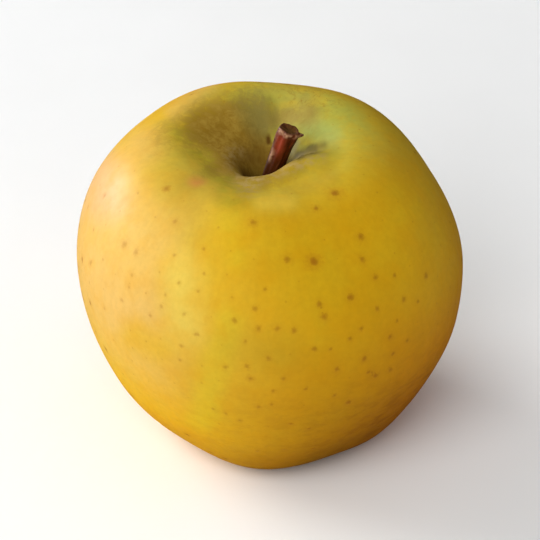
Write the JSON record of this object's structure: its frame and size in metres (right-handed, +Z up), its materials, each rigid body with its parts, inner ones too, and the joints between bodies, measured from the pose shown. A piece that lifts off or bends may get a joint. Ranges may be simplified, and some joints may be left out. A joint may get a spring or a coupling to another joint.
{
  "type": "apple",
  "caption": "Ripe golden apple with its stem in a deep cavity and a dried calyx in the basin below, standing on the low ribs of its foot.",
  "frame": {"origin": "under the middle of the apple, at the height of the surface that it stands on", "axes": "+Z up along the core towards the stem, +X to the right and -Y towards the viewer of the pictured side"},
  "size_m": [0.0742, 0.0728, 0.065],
  "materials": {
    "skin": "satin waxy fruit skin, golden yellow with russet dots",
    "stem": "matt red-brown woody stalk",
    "calyx": "matt dried sepals, dark brown"
  },
  "bodies": {
    "root": {"fruit": "skin", "stem": "stem", "calyx": "calyx"}
  },
  "joints": []
}
